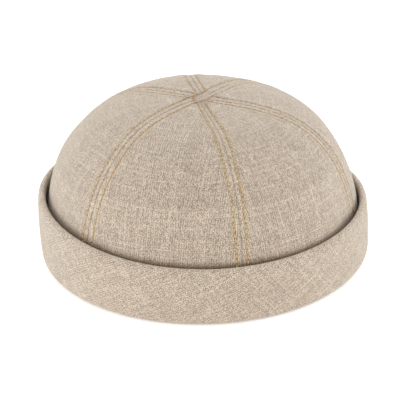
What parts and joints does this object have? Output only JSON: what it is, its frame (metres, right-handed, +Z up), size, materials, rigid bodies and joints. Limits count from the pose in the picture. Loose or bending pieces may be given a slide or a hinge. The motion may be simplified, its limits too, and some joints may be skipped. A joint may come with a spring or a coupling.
{
  "type": "linen docker beanie",
  "caption": "Brimless skull cap of woven linen: a low domed crown of tapered panels with a turned-up cuff all round, open below for the head.",
  "frame": {"origin": "centre of the cap's footprint, on the surface that the cuff rests on", "axes": "+Z up to the crown's apex, +Y from the front of the cap to its back, +X to the right of the picture"},
  "size_m": [0.1816, 0.2092, 0.0893],
  "materials": {
    "linen": "matt, slubbed plain weave in undyed cream and beige yarn",
    "topstitch": "ochre sewing thread"
  },
  "bodies": {
    "root": {"crown_panel_1": "linen", "crown_panel_2": "linen", "crown_panel_3": "linen", "crown_panel_4": "linen", "crown_panel_5": "linen", "crown_panel_6": "linen", "cuff": "linen"}
  },
  "joints": []
}
